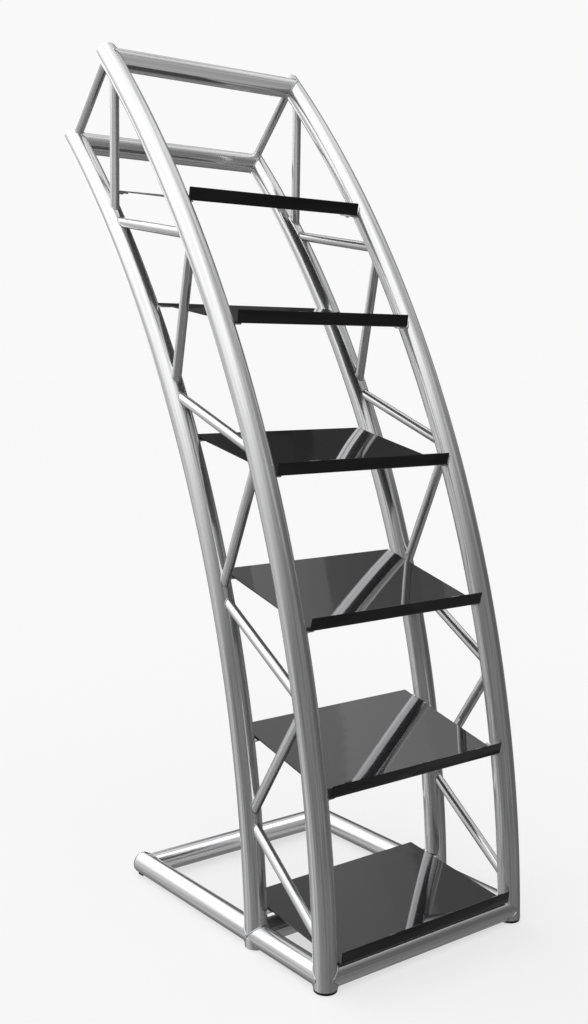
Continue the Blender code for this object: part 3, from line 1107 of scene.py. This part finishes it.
for number in SHELVES:
    hang_shelf(number, "rear")
    if number not in NO_FRONT_LUGS:
        hang_shelf(number, "front")

# %% [markdown]
# ## The studio
#
# Polished tube has no colour of its own: it shows the room. So the room is designed like a real
# studio for metal. One big softbox stands high on the left and whitens the leaning tops of the
# posts, and a bright one behind gives the long light stripes. Weaker walls stand around, the side
# where the photographer stands stays grey, and two black flags keep a dark line next to the light
# ones, because a tube reads as round only by the dark between its stripes. All of it is drawn in
# the world shader as soft round patches, each given by where it is, in degrees round from the
# front and up from the floor, by the angles where it starts and stops fading, and by its strength.
# A real room is never one even grey either. A cell pattern breaks it into panels about seven
# degrees wide, which the tubes draw out into fine lengthwise stripes and the shelves show as faint
# straight-edged shades.

# %% Studio values
GROUND = "#F9F9F9"
ROOM_LEVELS = ((-1.0, 0.20), (-0.5, 0.15), (0.0, 0.13), (0.35, 0.15), (0.7, 0.44), (1.0, 0.36))
SOFTBOXES = ((-112, 57, 31, 65, 0.82), (174, 18, 23, 27, 0.98))
WALLS = ((97, 42, 14, 44, 0.28), (-141, 8, 0, 63, 0.49), (-97, -47, 21, 42, 0.14))
FLAGS = ((57, 12, 17, 39, 0.53), (127, 12, 14, 34, 0.70))
PANELS_PER_UNIT = 8.0
PANEL_FINENESS = 0.8
PANEL_GREYS = (0.2, 0.8)
PANEL_CONTRAST = 0.6
print("studio:", len(SOFTBOXES), "softboxes,", len(WALLS), "walls,", len(FLAGS), "flags")

# %% [markdown]
# ## One patch of the room
#
# A patch is round, so it only needs the angle between the direction looked in and its middle. The
# dot product of two directions is that angle's cosine. A smooth step then runs from the value
# outside the patch to the one inside.

# %% Patch helper


def toward(azimuth, elevation):
    """The direction that many degrees round from the front and up from the floor."""
    round_by, up_by = math.radians(azimuth), math.radians(elevation)
    level = math.cos(up_by)
    return (math.sin(round_by) * level, -math.cos(round_by) * level, math.sin(up_by))


def patch(tree, where, spot, outside, inside):
    """A soft round patch of the room, with one value inside it and one outside."""
    azimuth, elevation, full, gone, _ = spot
    cosine = add(tree, "ShaderNodeVectorMath", [(where, 0)], operation="DOT_PRODUCT")
    cosine.inputs[1].default_value = toward(azimuth, elevation)
    angle = add(tree, "ShaderNodeMath", [(cosine.outputs["Value"], 0)], operation="ARCCOSINE")
    fade = add(
        tree,
        "ShaderNodeMapRange",
        [(angle.outputs[0], "Value")],
        interpolation_type="SMOOTHSTEP",
        from_min=math.radians(gone),
        from_max=math.radians(full),
        to_min=outside,
        to_max=inside,
    )
    return fade.outputs[0]


# %% [markdown]
# ## Putting the room together
#
# The order is the one in which light would meet these things. The walls add to the plain grey of
# the room, the panels make both uneven, the softboxes stand in front of that, and the flags take
# light away from whatever is behind them. Only then does the world split: the camera sees plain
# pale ground, and everything else sees the room.

# %% World


def room_grey(tree, where):
    """The plain grey of the room by height."""
    height = add(tree, "ShaderNodeSeparateXYZ", [(where, "Vector")]).outputs["Z"]
    share = add(tree, "ShaderNodeMapRange", [(height, "Value")], from_min=-1.0, from_max=1.0)
    ramp = add(tree, "ShaderNodeValToRGB", [(share.outputs[0], 0)])
    stops = ramp.color_ramp.elements
    while len(stops) < len(ROOM_LEVELS):
        stops.new(0.5)
    for stop, (level, grey) in zip(stops, ROOM_LEVELS):
        stop.position = (level + 1) / 2
        stop.color = (grey, grey, grey, 1)
    return ramp.outputs[0]


def room_panels(tree, where):
    """How much lighter or darker each panel of the room is."""
    panels = add(
        tree,
        "ShaderNodeTexVoronoi",
        [(where, "Vector")],
        scale=PANELS_PER_UNIT,
        detail=1.0,
        normalize=True,
        roughness=PANEL_FINENESS,
    )
    uneven = add(
        tree,
        "ShaderNodeMapRange",
        [(panels.outputs["Color"], "Value")],
        from_min=PANEL_GREYS[0],
        from_max=PANEL_GREYS[1],
        to_min=1 - PANEL_CONTRAST,
        to_max=1 + PANEL_CONTRAST,
    )
    return uneven.outputs[0]


def room_light(tree, where):
    """The whole studio, as one grey value for each direction."""
    steps = [("ADD", patch(tree, where, wall, 0.0, wall[-1])) for wall in WALLS]
    steps.append(("MULTIPLY", room_panels(tree, where)))
    steps += [("ADD", patch(tree, where, box, 0.0, box[-1])) for box in SOFTBOXES]
    steps += [("MULTIPLY", patch(tree, where, flag, 1.0, 1 - flag[-1])) for flag in FLAGS]
    light = room_grey(tree, where)
    for operation, value in steps:
        sum_up = add(tree, "ShaderNodeMath", [(light, 0), (value, 1)], operation=operation)
        light = sum_up.outputs[0]
    return light


def split_for_camera(tree, rest, camera):
    """One shader for the camera's own rays, another for all the rest."""
    path = add(tree, "ShaderNodeLightPath")
    shaders = [(path.outputs["Is Camera Ray"], 0), (rest.outputs[0], 1), (camera.outputs[0], 2)]
    return add(tree, "ShaderNodeMixShader", shaders).outputs[0]


def make_world():
    """Pale to the camera, and the studio to everything else."""
    world = bpy.data.worlds.new("studio")
    bpy.context.scene.world = world
    world.use_nodes = True
    tree = world.node_tree
    tree.nodes.clear()
    where = add(tree, "ShaderNodeTexCoord").outputs["Generated"]
    light = room_light(tree, where)
    room = add(tree, "ShaderNodeBackground", [(light, "Color")], strength=1.0)
    seen = add(tree, "ShaderNodeBackground", strength=1.0)
    seen.inputs["Color"].default_value = linear(GROUND)
    add(tree, "ShaderNodeOutputWorld", [(split_for_camera(tree, room, seen), "Surface")])



make_world()
bpy.context.scene.view_settings.view_transform = "Standard"

# %% [markdown]
# ## Cards for the crossbars and braces
#
# In the photograph the crossbars are lighter than the posts where both mirror the same part of the
# room, and so are the thin braces near the top. Cards beside the stand do that. A card is an area
# light here. Light linking lets each card reach only the tubes it was put up for, and spares the
# posts its glare.

# %% Cards
CARDS = {  # place, aim, width and height in metres, power in watts
    "front_card": ((1.75, -2.1, 0.9), (0.0, 0.3, 0.9), 2.4, 6.6, 12.4),
    "weak_card": ((1.75, -2.1, 0.9), (0.0, 0.3, 0.9), 2.4, 6.6, 3.5),
    "rear_card": ((2.0, -0.2, 2.6), (0.0, 0.16, 0.03), 2.0, 2.0, 11.0),
    "brace_card": ((-1.6, -2.2, 1.9), (0.0, 0.3, 1.7), 4.5, 4.5, 18.0),
}
LIT_BY = {
    "front_card": ("top_front_crossbar", "base_rear_crossbar"),
    "weak_card": ("top_rear_crossbar",),
    "rear_card": ("base_rear_crossbar",),
    "brace_card": ("left_brace_1", "right_brace_0", "right_brace_1"),
}


def make_card(name):
    """A lit card that only the tubes named for it mirror."""
    place, aim, width, height, watts = CARDS[name]
    lamp = bpy.data.lights.new(name, "AREA")
    lamp.shape, lamp.energy = "RECTANGLE", watts
    lamp.size, lamp.size_y = width, height
    card = put(name, lamp)
    facing = Vector(aim) - Vector(place)
    turn = facing.to_track_quat("-Z", "Y").to_matrix().to_4x4()
    card.matrix_world = Matrix.Translation(place) @ turn
    card.visible_camera = False
    lit = bpy.data.collections.new(f"lit_by_{name}")
    for node in LIT_BY[name]:
        lit.objects.link(bpy.data.objects[f"{node}_skin"])
    card.light_linking.receiver_collection = lit


for name in CARDS:
    make_card(name)
print("cards:", ", ".join(CARDS))

# %% [markdown]
# ## The floor
#
# The floor is the same pale ground as the wall, so that the stand seems to float on paper. Part of
# its paleness is its own glow and part is lit, and the lit part is what keeps the stand's soft
# shadow. Only the camera sees it: in the photograph the tubes mirror a grey room below them, not
# this paper, so here they mirror the lower half of the studio, which darkens their undersides.

# %% Floor
FLOOR_HALF = 30.0
LIT_COLOUR = "#A6A6A6"
GLOW = 0.631


def make_floor():
    """A wide pale floor that keeps a faint shadow."""
    mesh = bpy.data.meshes.new("floor")
    signs = ((-1, -1), (1, -1), (1, 1), (-1, 1))
    corners = [(x * FLOOR_HALF, y * FLOOR_HALF, 0) for x, y in signs]
    mesh.from_pydata(corners, [], [(0, 1, 2, 3)])
    floor = put("floor", mesh)
    skin = bpy.data.materials.new("pale_floor")
    skin.use_nodes = True
    tree = skin.node_tree
    tree.nodes.clear()
    glow = add(tree, "ShaderNodeEmission", strength=GLOW)
    lit = add(tree, "ShaderNodeBsdfDiffuse")
    lit.inputs["Color"].default_value = linear(LIT_COLOUR)
    paper = add(tree, "ShaderNodeAddShader", [(glow.outputs[0], 0), (lit.outputs[0], 1)])
    unseen = add(tree, "ShaderNodeBsdfTransparent")
    add(tree, "ShaderNodeOutputMaterial", [(split_for_camera(tree, unseen, paper), "Surface")])
    mesh.materials.append(skin)


make_floor()
print("floor reaches", FLOOR_HALF, "m each way")

# %% [markdown]
# ## The camera
#
# The camera stands to the left of the stand, a little above half its height, and looks slightly
# down. Its place comes from the lines of the tubes in the photograph. A new camera looks straight
# down, so it is turned to face the stand, then tilted up until it looks almost level, then rolled.

# %% Camera
SENSOR_MM = 36.0
FOCAL_MM = 44.57
CAMERA_X = -1.7209
CAMERA_FRONT_GAP = 1.751
CAMERA_ABOVE_BASE = 1.2048
YAW = math.radians(-38.079)
TILT = math.radians(90 - 7.707)
ROLL = math.radians(0.860)


def make_camera():
    """The photograph's view."""
    data = bpy.data.cameras.new("camera")
    data.sensor_width, data.lens = SENSOR_MM, FOCAL_MM
    camera = put("camera", data)
    place = (CAMERA_X, FRONT_Y - CAMERA_FRONT_GAP, BASE_Z + CAMERA_ABOVE_BASE)
    camera.matrix_world = Matrix.Translation(place)
    for turn, axis in ((YAW, "Z"), (TILT, "X"), (ROLL, "Z")):
        camera.matrix_world @= Matrix.Rotation(turn, 4, axis)
    bpy.context.scene.camera = camera


make_camera()
print("camera", round(BASE_Z + CAMERA_ABOVE_BASE, 2), "m up, lens", FOCAL_MM, "mm")
